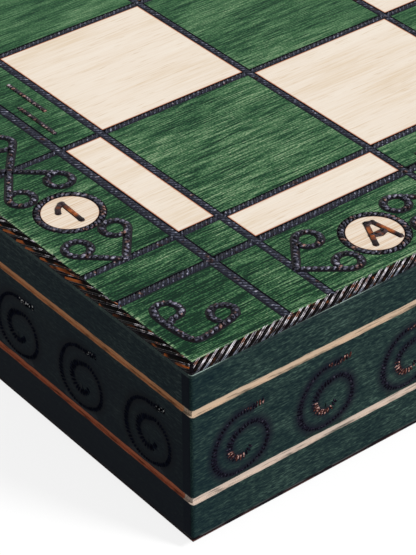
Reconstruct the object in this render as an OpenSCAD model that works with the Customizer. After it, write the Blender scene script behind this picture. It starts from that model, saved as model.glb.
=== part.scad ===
// Folding wooden chessboard: two trays hinged along the middle of the board.
// It lies open with the playing surface up. Its origin is under the middle of the open board,
// +X runs along the ranks and +Y runs away from the player at the near edge.

/* [Playing surface] */
// Side of one square
square_side = 42; // [36:0.5:50]
// Width of the plain strip round the squares
strip_width = 11.6; // [8:0.2:14]
// Width of the labelled border
border_width = 25.4; // [20:0.2:32]
// Width of the burned grooves between the squares
square_groove_width = 1.8; // [1:0.1:2.2]
// Width of the burned groove between the squares and the strip
inner_frame_width = 2; // [1.4:0.1:2.6]
// Width of the burned groove between the strip and the border
outer_frame_width = 2.2; // [1.6:0.1:3]
// Depth of every groove in the playing surface
top_groove_depth = 0.7; // [0.3:0.1:1.2]
// Radius of a label disc
disc_radius = 6.3; // [4:0.1:8]
// Width of the cord groove round a label disc
disc_ring_width = 1.5; // [1:0.1:2.4]

/* [Trays] */
// Height of one tray from its rim to the playing surface
tray_height = 45.2; // [36:0.2:56]
// Thickness of the playing panel
panel_thickness = 3; // [3:0.5:4]
// Thickness of the rails
rail_thickness = 9; // [8:0.5:12]
// Length of the end grain that shows at a corner
corner_lip = 3; // [2:0.5:5]
// Width of the roped edge, seen from above
rope_width = 1.3; // [1:0.1:2.4]
// Height of the roped edge, seen from the side
rope_height = 2.1; // [1.5:0.1:3]
// Radius of the rim's outer edge
rim_round = 0.8; // [0.6:0.1:2]
// Radius of the upright corners
corner_round = 0.8; // [0.4:0.1:2]
// Height of the lower light line above the rim
low_line_height = 11; // [10:0.1:12]
// Height of the upper light line above the rim
high_line_height = 33.4; // [24:0.1:34]
// Width of the light lines
line_width = 1.6; // [1:0.1:2.4]
// Depth of the light lines
line_depth = 0.5; // [0.3:0.1:0.8]
// Thickness of the felt inside the trays
felt_thickness = 1; // [0.6:0.1:1.6]

/* [Hinges] */
// Distance of a hinge's middle from the board's middle
hinge_offset = 120; // [80:1:150]
// Length of a hinge
hinge_length = 38; // [30:1:50]
// Width of a leaf from the hinge line
leaf_width = 7.6; // [7:0.1:8]
// Thickness of a leaf
leaf_thickness = 1; // [0.8:0.1:1.2]
// Radius of the hinge barrel
barrel_radius = 1.6; // [1.5:0.1:2]
// Radius of the hinge pin
pin_radius = 0.75; // [0.6:0.05:0.8]

/* [Hooks and studs] */
// Distance of a hook from the board's middle
hook_offset = 95; // [60:1:140]
// Height of the hook pivots and the studs above the rim
hook_height = 6; // [5.6:0.1:6.4]
// Width of a hook
hook_width = 5; // [4.6:0.1:5.2]
// Thickness of a hook
hook_thickness = 1; // [0.8:0.1:1.2]
// Radius of the shoulder that a hook turns on
shoulder_radius = 1.2; // [1.1:0.05:1.3]
// Radius of a stud's neck
stud_neck_radius = 1; // [0.8:0.05:1.1]

/* [Hidden] */
$fn = 48;

// Gap between the two halves, open and closed
half_gap = 0.3;
// Running clearance of the hinge pins and hook pivots
running_gap = 0.05;
// Clearance between parts that pass each other
free_gap = 0.2;
// Amount that a cutting shape reaches past the face it cuts
over = 1;

squares_half = 4 * square_side;
strip_edge = squares_half + strip_width;
board_half = strip_edge + border_width;
groove_reach = board_half - rope_width;
axis_height = barrel_radius;
rim_height = axis_height + half_gap / 2;
top_height = rim_height + tray_height;
panel_bottom = top_height - panel_thickness;
fold_edge = -half_gap / 2;

// Share of the border's width between the strip and the middle of a disc on the left or right
rank_disc_place = 0.48;
// The same share for a disc on the front or back
file_disc_place = 0.53;
rank_disc_centre = strip_edge + rank_disc_place * border_width;
file_disc_centre = strip_edge + file_disc_place * border_width;

knuckle_count = 5;
knuckle_length = hinge_length / knuckle_count;
barrel_notch_radius = barrel_radius + 2 * free_gap;
pin_head_radius = 1.15;
pin_head_length = 0.5;
leaf_screw_spacing = 24;
leaf_screw_row = -5;
leaf_screw_radius = 0.9;
leaf_screw_length = 7;
leaf_screw_head_radius = 1.7;
leaf_screw_head_height = 0.8;

pivot_height = rim_height + hook_height;
hook_reach = 2 * (pivot_height - axis_height);
hook_tip = 3.6;
hook_slot_width = 3;
hook_stand_off = 0.2;
// Amount that a hook's eye is wider than its arm, on each side
hook_eye_margin = 0.4;
// Play between a hook and the head of its screw or stud
hook_play = 0.3;
peg_radius = 0.9;
peg_length = 6;
peg_head_radius = 2.2;
peg_head_thickness = 0.8;
peg_neck_length = hook_stand_off + hook_thickness + hook_play;
slot_width = 0.5;
slot_depth = 0.35;

wood_green = [0.16, 0.30, 0.22];
side_green = [0.10, 0.20, 0.18];
felt_green = [0.08, 0.27, 0.15];
brass = [0.78, 0.62, 0.30];

// A box given by its two corners.
module block(low, high) {
    translate(low) cube(high - low);
}

// Plan of one tray: its two outer corners are rounded and its hinge side is square.
module tray_plan() {
    union() {
        for (side = [-1, 1])
            translate([side * (board_half - corner_round), -board_half + corner_round])
                circle(r = corner_round);
        translate([-board_half + corner_round, -board_half])
            square([2 * (board_half - corner_round), board_half + fold_edge]);
        translate([-board_half, -board_half + corner_round])
            square([2 * board_half, board_half - corner_round + fold_edge]);
    }
}

// Outline of a tray's cross section at one outer wall: x runs out, y runs up from the rim.
// The rim's outer edge is round and the top's outer edge is cut back for the rope.
module wall_section(reach, height, rope) {
    difference() {
        union() {
            translate([reach - rim_round, rim_round]) circle(r = rim_round);
            translate([-reach, 0]) square([2 * reach - rim_round, height]);
            translate([-reach, rim_round]) square([2 * reach, height - rim_round]);
        }
        if (rope)
            polygon([
                [reach - rope_width, height],
                [reach, height - rope_height],
                [reach + over, height - rope_height],
                [reach + over, height + over],
                [reach - rope_width, height + over]
            ]);
    }
}

// The near tray's outer shape without the panel, with its round rim and its two light lines.
module near_tray_form() {
    height = panel_bottom - rim_height;
    difference() {
        intersection() {
            translate([0, 0, rim_height]) linear_extrude(height) tray_plan();
            for_front() wall_section(board_half, height, false);
            for_side(1) wall_section(board_half, height, false);
            for_side(-1) wall_section(board_half, height, false);
        }
        for (line = [low_line_height, high_line_height])
            translate([0, 0, rim_height + line - line_width / 2])
                linear_extrude(line_width) difference() {
                    translate([-board_half - over, -board_half - over])
                        square([2 * (board_half + over), board_half + 2 * over]);
                    translate([-board_half + line_depth, -board_half + line_depth])
                        square([2 * (board_half - line_depth), board_half + fold_edge - 2 * line_depth]);
                }
    }
}

// Sweeps a wall section along X, with its outer edge at the front.
module for_front() {
    translate([-board_half - over, 0, rim_height]) rotate([90, 0, 90])
        mirror([1, 0]) linear_extrude(2 * (board_half + over)) children();
}

// Sweeps a wall section along Y, with its outer edge at the given side.
module for_side(side) {
    translate([0, over, rim_height]) rotate([90, 0, 0])
        mirror([side < 0 ? 1 : 0, 0]) linear_extrude(board_half + 2 * over) children();
}

// Everything between two heights.
module level(low, high) {
    block([-board_half - over, -board_half - over, low], [board_half + over, over, high]);
}

// A groove across the near half, from the fold to the roped edge.
module file_groove(x, width) {
    block(
        [x - width / 2, -groove_reach, top_height - top_groove_depth],
        [x + width / 2, over, top_height + over]
    );
}

// A groove from one roped edge to the other.
module rank_groove(y, width) {
    block(
        [-groove_reach, y - width / 2, top_height - top_groove_depth],
        [groove_reach, y + width / 2, top_height + over]
    );
}

// Every straight groove in the near half runs on through the border to the roped edge.
module near_grooves() {
    for (k = [-3:3]) file_groove(k * square_side, square_groove_width);
    for (k = [1:3]) rank_groove(-k * square_side, square_groove_width);
    for (side = [-1, 1]) {
        file_groove(side * squares_half, inner_frame_width);
        file_groove(side * strip_edge, outer_frame_width);
    }
    rank_groove(-squares_half, inner_frame_width);
    rank_groove(-strip_edge, outer_frame_width);
}

// The cord groove round a label disc.
module disc_ring(x, y) {
    translate([x, y, top_height - top_groove_depth])
        rotate_extrude() translate([disc_radius, 0])
            square([disc_ring_width, top_groove_depth + over]);
}

// The near half of the playing surface.
module near_panel_form() {
    difference() {
        intersection() {
            translate([0, 0, panel_bottom]) linear_extrude(panel_thickness) tray_plan();
            for_front() wall_section(board_half, tray_height, true);
            for_side(1) wall_section(board_half, tray_height, true);
            for_side(-1) wall_section(board_half, tray_height, true);
        }
        near_grooves();
        for (k = [-3.5:3.5]) disc_ring(k * square_side, -file_disc_centre);
        for (side = [-1, 1], k = [0.5:3.5]) disc_ring(side * rank_disc_centre, -k * square_side);
    }
}

module near_panel() {
    color(wood_green) near_panel_form();
}

module far_panel() {
    color(wood_green) mirror([0, 1, 0]) near_panel_form();
}

// A long rail's blank: it runs the whole length, and each end is cut back to a lip.
// edge is the rail's outer face and into is +1 where the tray lies on its +Y side.
module long_rail_blank(edge, into) {
    reach = board_half + over;
    low = min(edge, edge + into * rail_thickness);
    difference() {
        block([-reach, low, rim_height - over], [reach, low + rail_thickness, panel_bottom + over]);
        for (side = [-1, 1])
            translate([
                side * (board_half - rail_thickness / 2),
                edge + into * (corner_lip + rail_thickness / 2),
                panel_bottom / 2
            ])
                cube([rail_thickness, rail_thickness, 2 * panel_bottom], center = true);
    }
}

// A blind hole for a hook pivot or a stud in the outer face of the front rail.
module peg_hole(x) {
    translate([x, -board_half, pivot_height]) rotate([-90, 0, 0])
        translate([0, 0, -over]) cylinder(r = peg_radius + running_gap, h = peg_length + over);
}

module front_rail_form() {
    difference() {
        intersection() {
            near_tray_form();
            long_rail_blank(-board_half, 1);
        }
        for (side = [-1, 1]) peg_hole(side * hook_offset);
    }
}

module front_rail() {
    color(side_green) front_rail_form();
}

module back_rail() {
    color(side_green) mirror([0, 1, 0]) front_rail_form();
}

// Room for one hinge in the hinge rail: the leaf's seat, the barrel's notch and the screw holes.
module hinge_seat(x) {
    seat_half = hinge_length / 2 + free_gap / 2;
    notch_half = hinge_length / 2 + pin_head_length + 2 * free_gap;
    block(
        [x - seat_half, -leaf_width - free_gap / 2, rim_height - over],
        [x + seat_half, over, rim_height + leaf_thickness]
    );
    translate([x - notch_half, 0, axis_height]) rotate([0, 90, 0])
        cylinder(r = barrel_notch_radius, h = 2 * notch_half);
    for (side = [-1, 1])
        translate([x + side * leaf_screw_spacing / 2, leaf_screw_row, rim_height])
            cylinder(r = leaf_screw_radius + running_gap, h = leaf_screw_length);
}

module near_hinge_rail_form() {
    difference() {
        intersection() {
            near_tray_form();
            long_rail_blank(fold_edge, -1);
        }
        for (side = [-1, 1]) hinge_seat(side * hinge_offset);
    }
}

module near_hinge_rail() {
    color(side_green) near_hinge_rail_form();
}

module far_hinge_rail() {
    color(side_green) mirror([0, 1, 0]) near_hinge_rail_form();
}

// An end rail of the near tray, between the lips of the long rails.
module near_end_rail_form(side) {
    inner = board_half - rail_thickness;
    outer = board_half + over;
    intersection() {
        near_tray_form();
        block(
            [side < 0 ? -outer : inner, -board_half + corner_lip, rim_height - over],
            [side < 0 ? -inner : outer, fold_edge - corner_lip, panel_bottom + over]
        );
    }
}

module near_left_rail() {
    color(side_green) near_end_rail_form(-1);
}

module near_right_rail() {
    color(side_green) near_end_rail_form(1);
}

module far_left_rail() {
    color(side_green) mirror([0, 1, 0]) near_end_rail_form(-1);
}

module far_right_rail() {
    color(side_green) mirror([0, 1, 0]) near_end_rail_form(1);
}

// The felt under the near panel, just clear of the rails.
module near_felt_form() {
    inner = board_half - rail_thickness - free_gap;
    block(
        [-inner, -inner, panel_bottom - felt_thickness],
        [inner, fold_edge - rail_thickness - free_gap, panel_bottom]
    );
}

module near_felt() {
    color(felt_green) near_felt_form();
}

module far_felt() {
    color(felt_green) mirror([0, 1, 0]) near_felt_form();
}

// True where knuckle k belongs to the near leaf: the near leaf has the outer ones.
function is_near_knuckle(k) = k % 2 == 0;

// One leaf of a hinge about x = 0. near picks the near leaf's knuckles.
module leaf_form(near) {
    difference() {
        union() {
            block(
                [-hinge_length / 2, -leaf_width, rim_height],
                [hinge_length / 2, 0, rim_height + leaf_thickness]
            );
            for (k = [0:knuckle_count - 1]) if (is_near_knuckle(k) == near)
                translate([k * knuckle_length - hinge_length / 2, 0, axis_height]) rotate([0, 90, 0])
                    cylinder(r = barrel_radius, h = knuckle_length);
        }
        for (k = [0:knuckle_count - 1]) if (is_near_knuckle(k) != near)
            block(
                [
                    k * knuckle_length - hinge_length / 2 - free_gap,
                    -barrel_radius - free_gap,
                    axis_height - barrel_radius - over
                ],
                [
                    (k + 1) * knuckle_length - hinge_length / 2 + free_gap,
                    barrel_radius + over,
                    axis_height + barrel_radius + over
                ]
            );
        translate([-hinge_length / 2 - over, 0, axis_height]) rotate([0, 90, 0])
            cylinder(r = pin_radius + running_gap, h = hinge_length + 2 * over);
        for (side = [-1, 1])
            translate([side * leaf_screw_spacing / 2, leaf_screw_row, rim_height])
                leaf_screw_hole();
    }
}

// A countersunk hole through a leaf.
module leaf_screw_hole() {
    translate([0, 0, -over])
        cylinder(r = leaf_screw_radius + running_gap, h = leaf_thickness + 2 * over);
    cylinder(r1 = leaf_screw_head_radius, r2 = leaf_screw_radius, h = leaf_screw_head_height);
}

module hinge_near_leaf(side) {
    color(brass) translate([side * hinge_offset, 0, 0]) leaf_form(true);
}

module hinge_far_leaf(side) {
    color(brass) translate([side * hinge_offset, 0, 0]) mirror([0, 1, 0]) leaf_form(false);
}

// A hinge pin with a flat head at each end of the barrel.
module hinge_pin(side) {
    color(brass) translate([side * hinge_offset, 0, axis_height]) rotate([0, 90, 0]) {
        cylinder(r = pin_radius, h = hinge_length, center = true);
        for (end = [-1, 1])
            translate([0, 0, end * (hinge_length + pin_head_length) / 2])
                cylinder(r = pin_head_radius, h = pin_head_length, center = true);
    }
}

// A flush wood screw whose slotted head lies in a leaf. half is 1 on the near leaf, -1 on the far one.
module leaf_screw(side, half, end) {
    color(brass)
        translate([
            side * hinge_offset + end * leaf_screw_spacing / 2,
            half * leaf_screw_row,
            rim_height
        ])
            difference() {
                union() {
                    cylinder(
                        r1 = leaf_screw_head_radius,
                        r2 = leaf_screw_radius,
                        h = leaf_screw_head_height
                    );
                    cylinder(r = leaf_screw_radius, h = leaf_screw_length);
                }
                slot_length = 2 * (leaf_screw_head_radius + over);
                translate([0, 0, slot_depth / 2 - over / 2])
                    cube([slot_length, slot_width, slot_depth + over], center = true);
            }
}

// A flat hook, stowed level: it points to the middle of the board and its slot opens down.
module hook(side) {
    back_face = -board_half - hook_stand_off;
    arm_length = hook_reach + hook_tip - hook_width / 2;
    color(brass) mirror([side < 0 ? 0 : 1, 0, 0])
        translate([-hook_offset, back_face, pivot_height]) rotate([90, 0, 0])
            linear_extrude(hook_thickness) difference() {
                union() {
                    circle(r = hook_width / 2 + hook_eye_margin);
                    translate([0, -hook_width / 2]) square([arm_length, hook_width]);
                    translate([arm_length, 0]) circle(r = hook_width / 2);
                }
                circle(r = shoulder_radius + running_gap);
                translate([hook_reach, 0]) circle(r = hook_slot_width / 2);
                translate([hook_reach - hook_slot_width / 2, -hook_width])
                    square([hook_slot_width, hook_width]);
            }
}

// A peg in the outer face of the front rail: a shank in the wood, a neck and a flat head.
module front_peg(neck_radius, slotted) {
    rotate([90, 0, 0]) difference() {
        union() {
            translate([0, 0, -peg_length]) cylinder(r = peg_radius, h = peg_length);
            cylinder(r = neck_radius, h = peg_neck_length);
            translate([0, 0, peg_neck_length]) cylinder(r = peg_head_radius, h = peg_head_thickness);
        }
        if (slotted)
            translate([0, 0, peg_neck_length + peg_head_thickness])
                cube([2 * (peg_head_radius + over), slot_width, 2 * slot_depth], center = true);
    }
}

module hook_screw(side) {
    color(brass) translate([side * hook_offset, -board_half, pivot_height])
        front_peg(shoulder_radius, true);
}

module stud(side) {
    color(brass) mirror([0, 1, 0]) translate([side * hook_offset, -board_half, pivot_height])
        front_peg(stud_neck_radius, false);
}

near_panel();
far_panel();
front_rail();
back_rail();
near_hinge_rail();
far_hinge_rail();
near_left_rail();
near_right_rail();
far_left_rail();
far_right_rail();
near_felt();
far_felt();
hinge_near_leaf(-1);  // left_hinge_near_leaf
hinge_far_leaf(-1);  // left_hinge_far_leaf
hinge_pin(-1);  // left_hinge_pin
hinge_near_leaf(1);  // right_hinge_near_leaf
hinge_far_leaf(1);  // right_hinge_far_leaf
hinge_pin(1);  // right_hinge_pin
leaf_screw(-1, 1, -1);  // left_hinge_near_screw_a
leaf_screw(-1, 1, 1);  // left_hinge_near_screw_b
leaf_screw(-1, -1, -1);  // left_hinge_far_screw_a
leaf_screw(-1, -1, 1);  // left_hinge_far_screw_b
leaf_screw(1, 1, -1);  // right_hinge_near_screw_a
leaf_screw(1, 1, 1);  // right_hinge_near_screw_b
leaf_screw(1, -1, -1);  // right_hinge_far_screw_a
leaf_screw(1, -1, 1);  // right_hinge_far_screw_b
hook(-1);  // left_hook
hook(1);  // right_hook
hook_screw(-1);  // left_hook_screw
hook_screw(1);  // right_hook_screw
stud(-1);  // left_stud
stud(1);  // right_stud
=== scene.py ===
"""Looks of the folding chessboard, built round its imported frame.

Metres throughout, in the frame's axes: +Z out of the playing surface, +X along the ranks from the
near player's left to right, +Y away from that player. The burned ornament is real geometry: cords of
small domes in the grooves, raised curls and labels, hatched spirals and a roped edge.
"""

import math
from functools import reduce

import bpy
import numpy as np
from mathutils import Matrix, Vector


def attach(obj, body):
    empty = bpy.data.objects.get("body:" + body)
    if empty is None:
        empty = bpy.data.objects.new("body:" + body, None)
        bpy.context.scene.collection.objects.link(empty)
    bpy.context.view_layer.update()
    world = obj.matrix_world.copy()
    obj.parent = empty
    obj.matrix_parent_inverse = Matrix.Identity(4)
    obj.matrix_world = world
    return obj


MM = 0.001

# Sizes that the frame also has. Each edge is a distance from the board's middle
SQUARE = 42 * MM
SQUARES_HALF = 4 * SQUARE
STRIP_EDGE = SQUARES_HALF + 11.6 * MM
EDGE = STRIP_EDGE + 25.4 * MM
RIM = 1.75 * MM
TOP = RIM + 45.2 * MM
FOLD_EDGE = 0.15 * MM
GROOVE_DEPTH = 0.7 * MM
SQUARE_GROOVE = 1.8 * MM
INNER_GROOVE = 2.0 * MM
OUTER_GROOVE = 2.2 * MM
ROPE_WIDTH = 1.3 * MM
ROPE_HEIGHT = 2.1 * MM
DISC_RADIUS = 6.3 * MM
DISC_RING = 1.5 * MM
BORDER = EDGE - STRIP_EDGE
RANK_DISC = STRIP_EDGE + 0.48 * BORDER
FILE_DISC = STRIP_EDGE + 0.53 * BORDER
LINE_HEIGHTS = (RIM + 11 * MM, RIM + 33.4 * MM)
LINE_DEPTH = 0.5 * MM
RIM_BURN = 1.55 * MM

UP = np.array([0.0, 0.0, 1.0])


def srgb(red, green, blue):
    """A linear colour from sRGB values of 0 to 255."""
    share = [value / 255 for value in (red, green, blue)]
    return tuple(((c + 0.055) / 1.055) ** 2.4 if c > 0.04 else c / 12.92 for c in share) + (1.0,)


# Materials


class Finish:
    """A procedural material, with short calls that add nodes. Each input is a socket, a number or a colour."""

    def __init__(self, name, roughness, specular=0.5, metallic=0.0):
        self.material = bpy.data.materials.new(name)
        self.material.use_nodes = True
        self.tree = self.material.node_tree
        self.shader = self.tree.nodes["Principled BSDF"]
        self.shader.inputs["Roughness"].default_value = roughness
        self.shader.inputs["Specular IOR Level"].default_value = specular
        self.shader.inputs["Metallic"].default_value = metallic
        self.place = self.tree.nodes.new("ShaderNodeTexCoord").outputs["Object"]

    def put(self, socket, value):
        if isinstance(value, bpy.types.NodeSocket):
            self.tree.links.new(value, socket)
        else:
            socket.default_value = value

    def math(self, operation, first, second=0.0):
        node = self.tree.nodes.new("ShaderNodeMath")
        node.operation = operation
        self.put(node.inputs[0], first)
        self.put(node.inputs[1], second)
        return node.outputs[0]

    def least(self, *values):
        return reduce(lambda first, second: self.math("MINIMUM", first, second), values)

    def most(self, *values):
        return reduce(lambda first, second: self.math("MAXIMUM", first, second), values)

    def above(self, value, limit):
        return self.math("GREATER_THAN", value, limit)

    def below(self, value, limit):
        return self.math("LESS_THAN", value, limit)

    def times(self, first, second):
        return self.math("MULTIPLY", first, second)

    def add(self, first, second):
        return self.math("ADD", first, second)

    def size(self, value):
        return self.math("ABSOLUTE", value)

    def about(self, middle, *parts):
        """The middle value plus each (noise, gain) pair's swing about its own middle."""
        result = middle
        for noise, gain in parts:
            result = self.add(result, self.times(self.add(noise, -0.5), gain))
        return result

    def held(self, name):
        """A value held at the mesh's vertices, or 0 on a mesh without it."""
        node = self.tree.nodes.new("ShaderNodeAttribute")
        node.attribute_name = name
        return node.outputs["Fac"]

    def axes(self):
        """The three object coordinates."""
        node = self.tree.nodes.new("ShaderNodeSeparateXYZ")
        self.put(node.inputs[0], self.place)
        return node.outputs[0], node.outputs[1], node.outputs[2]

    def on_side(self):
        """1 on the board's left and right, and 0 on its front and back."""
        x, y = self.axes()[:2]
        return self.above(self.size(x), self.size(y))

    def ease(self, value, start, end):
        """0 before start and 1 after end, with a smooth change between. start may be the larger one."""
        node = self.tree.nodes.new("ShaderNodeMapRange")
        node.interpolation_type = "SMOOTHSTEP"
        self.put(node.inputs["Value"], value)
        node.inputs["From Min"].default_value = min(start, end)
        node.inputs["From Max"].default_value = max(start, end)
        node.inputs["To Min"].default_value = 0.0 if start < end else 1.0
        node.inputs["To Max"].default_value = 1.0 if start < end else 0.0
        return node.outputs[0]

    def noise(self, cell, detail, roughness=0.5):
        """Noise with cells of a size in millimetres, or of one for each of X, Y and Z."""
        stretch = self.tree.nodes.new("ShaderNodeVectorMath")
        stretch.operation = "MULTIPLY"
        self.put(stretch.inputs[0], self.place)
        stretch.inputs[1].default_value = [1 / (size * MM) for size in np.broadcast_to(cell, 3)]
        node = self.tree.nodes.new("ShaderNodeTexNoise")
        self.put(node.inputs["Vector"], stretch.outputs[0])
        node.inputs["Scale"].default_value = 1.0
        node.inputs["Detail"].default_value = detail
        node.inputs["Roughness"].default_value = roughness
        return node.outputs["Fac"]

    def fibre(self, grain, length, width, detail):
        """Noise of fibres that run along X (grain 0) or Y (grain 1), with sizes in millimetres."""
        return self.noise([length if axis == grain else width for axis in range(3)], detail)

    def mix(self, share, first, second):
        node = self.tree.nodes.new("ShaderNodeMix")
        node.data_type = "RGBA"
        self.put(node.inputs[0], share)
        self.put(node.inputs[6], first)
        self.put(node.inputs[7], second)
        return node.outputs[2]

    def ramp(self, value, *stops):
        """A colour from (place, red, green, blue) stops, with sRGB values of 0 to 255."""
        node = self.tree.nodes.new("ShaderNodeValToRGB")
        self.put(node.inputs[0], value)
        elements = node.color_ramp.elements
        while len(elements) < len(stops):
            elements.new(1.0)
        for element, (place, *colour) in zip(elements, stops):
            element.position = place
            element.color = srgb(*colour)
        return node.outputs[0]

    def bump(self, height, distance, strength):
        node = self.tree.nodes.new("ShaderNodeBump")
        node.inputs["Strength"].default_value = strength
        node.inputs["Distance"].default_value = distance
        self.put(node.inputs["Height"], height)
        self.put(self.shader.inputs["Normal"], node.outputs[0])

    def finish(self, colour, roughness=None):
        self.put(self.shader.inputs["Base Color"], colour)
        if roughness is not None:
            self.put(self.shader.inputs["Roughness"], roughness)
        return self.material


BURNED = srgb(16, 13, 19)


def side_colour(f, grain, dim=(1.0, 1.0, 1.0)):
    """The teal stain of the walls: short flecks along the grain, in soft clouds. dim scales its colours."""
    fleck = f.fibre(grain, 1.1, 0.26, 2)
    fibre = f.fibre(grain, 12, 0.36, 1)
    cloud = f.fibre(grain, 16, 8, 2)
    tone = f.about(0.474, (fleck, 0.9), (fibre, 0.28), (cloud, 0.34))
    stops = ((0.24, 15, 29, 34), (0.42, 27, 44, 45), (0.56, 44, 62, 58), (0.8, 80, 104, 94))
    return tone, f.ramp(tone, *((place, *np.multiply(colour, dim)) for place, *colour in stops))


def green_colour(f, tone):
    """The green stain of the playing surface."""
    return f.ramp(
        tone, (0.22, 10, 40, 26), (0.36, 28, 68, 44), (0.52, 58, 98, 64), (0.68, 92, 130, 92), (0.92, 158, 180, 142)
    )


def cream_colour(f):
    """Bare pale wood."""
    fibre = f.fibre(0, 16, 0.5, 3)
    cloud = f.fibre(0, 30, 6, 2)
    pore = f.fibre(0, 5, 0.3, 1)
    tone = f.add(f.times(fibre, 0.5), f.times(cloud, 0.5))
    wood = f.ramp(tone, (0.32, 234, 214, 188), (0.5, 245, 231, 214), (0.7, 249, 238, 223))
    return f.mix(f.times(f.ease(pore, 0.6, 0.78), 0.5), wood, srgb(214, 186, 150))


def playing_wood():
    """The panels: squares, strip, border and discs, with the burned grooves and their scorched edges."""
    f = Finish("playing_wood", roughness=0.5, specular=0.06)
    x, y, z = f.axes()
    far_x, far_y = f.size(x), f.size(y)
    a, b = f.math("DIVIDE", x, SQUARE), f.math("DIVIDE", y, SQUARE)
    cell_a, cell_b = f.math("FLOOR", a), f.math("FLOOR", b)

    # Distance from the nearest groove's edge, below zero inside the groove
    def from_line(value, far):
        square = f.times(f.size(f.math("SUBTRACT", value, f.math("ROUND", value))), SQUARE)
        strip = f.size(f.math("SUBTRACT", far, STRIP_EDGE))
        return f.least(f.add(square, -SQUARE_GROOVE / 2), f.add(strip, -OUTER_GROOVE / 2))

    # Distance from the nearest label disc's centre along one border
    def from_disc(value, cell, far, other_far, place):
        across = f.times(f.add(f.math("SUBTRACT", value, cell), -0.5), SQUARE)
        outside = f.above(far, SQUARES_HALF)
        out = f.add(f.add(other_far, -place), outside)
        return f.math("SQRT", f.add(f.times(across, across), f.times(out, out)))

    disc = f.least(from_disc(a, cell_a, far_x, far_y, FILE_DISC), from_disc(b, cell_b, far_y, far_x, RANK_DISC))
    ring = f.add(f.size(f.add(disc, -DISC_RADIUS - DISC_RING / 2)), -DISC_RING / 2)
    edge = f.least(from_line(a, far_x), from_line(b, far_y), ring)

    # Green wood: crisp fibres in broader bands, darkest in the border's corners and paler on the worn edge
    fibre = f.fibre(0, 20, 0.32, 1)
    hair = f.ease(f.fibre(0, 5, 0.21, 0), 0.36, 0.64)
    grit = f.fibre(0, 0.5, 0.25, 0)
    band = f.fibre(0, 30, 1.4, 2)
    patch = f.fibre(0, 26, 9, 2)
    outer = f.most(far_x, far_y)
    inner = f.least(far_x, far_y)
    border = f.ease(outer, SQUARES_HALF - MM, STRIP_EDGE + MM)
    corner = f.ease(inner, SQUARES_HALF + 4 * MM, STRIP_EDGE + MM)
    at_side = f.times(border, f.above(far_x, far_y))
    crisp = f.add(f.times(f.ease(inner, 60 * MM, 180 * MM), 0.65), 0.7)
    streaks = ((fibre, f.times(crisp, 0.5)), (hair, f.times(crisp, 0.27)), (grit, f.times(crisp, 0.5)))
    tone = f.about(0.497, *streaks, (band, 0.28), (patch, 0.45))
    tone = f.add(tone, f.add(f.times(border, -0.06), f.add(f.times(corner, -0.1), f.times(at_side, -0.08))))
    worn = f.times(f.ease(outer, EDGE - 4.4 * MM, EDGE - 1.9 * MM), f.ease(band, 0.4, 0.62))
    rim = f.times(f.ease(outer, EDGE - 2.1 * MM, EDGE - 1.6 * MM), f.ease(fibre, 0.4, 0.56))
    tip = f.ease(inner, EDGE - 14 * MM, EDGE - 3 * MM)
    tone = f.add(tone, f.add(f.times(worn, 0.14), f.times(rim, f.add(f.times(tip, 0.22), 0.24))))
    green = green_colour(f, tone)

    # Cream wood: every second cell, and the discs, browned beside the grooves
    odd = f.size(f.math("MODULO", f.add(cell_a, cell_b), 2.0))
    inside = f.below(outer, STRIP_EDGE)
    on_disc = f.below(disc, DISC_RADIUS)
    cream_here = f.most(f.times(odd, inside), on_disc)
    stain = f.times(on_disc, f.add(f.times(f.ease(fibre, 0.46, 0.64), 0.38), 0.08))
    cream = f.mix(stain, cream_colour(f), srgb(206, 160, 108))
    browned = f.math("SUBTRACT", f.times(edge, f.add(on_disc, 1.0)), f.times(fibre, 0.2 * MM))
    cream = f.mix(f.ease(browned, 0.45 * MM, 0.0), cream, srgb(178, 92, 44))
    wood = f.mix(cream_here, green, cream)
    scorch_and_glint = f.ease(f.times(f.held("scorch_and_glint"), f.about(1.0, (hair, 0.5))), 0.15, 0.9)
    wood = f.mix(f.most(f.ease(edge, 0.18 * MM, 0.08 * MM), scorch_and_glint), wood, BURNED)

    # Groove walls and floors, the seat of the rope, and the walls' stain on the panel's upright edges
    cut = f.below(z, TOP - 0.06 * MM)
    wood = f.mix(cut, wood, BURNED)
    on_wall = f.times(
        f.below(z, TOP - ROPE_HEIGHT + 0.02 * MM),
        f.above(outer, EDGE - 0.9 * MM),
    )
    on_fold = f.times(f.below(far_y, FOLD_EDGE + 0.01 * MM), cut)
    side = side_colour(f, 0)[1]
    rubbed = f.ease(f.add(band, f.times(f.ease(inner, EDGE - 30 * MM, EDGE), 0.2)), 0.46, 0.6)
    rubbed = f.times(rubbed, f.ease(z, TOP - ROPE_HEIGHT - 0.24 * MM, TOP - ROPE_HEIGHT - 0.12 * MM))
    side = f.mix(f.times(rubbed, f.above(far_y, EDGE - 0.9 * MM)), side, srgb(150, 170, 162))
    wood = f.mix(f.most(on_wall, on_fold), wood, side)
    f.bump(f.add(fibre, f.times(hair, 0.5)), 0.05 * MM, 0.5)
    return f.finish(wood, f.add(f.times(fibre, 0.25), 0.42))


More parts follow.
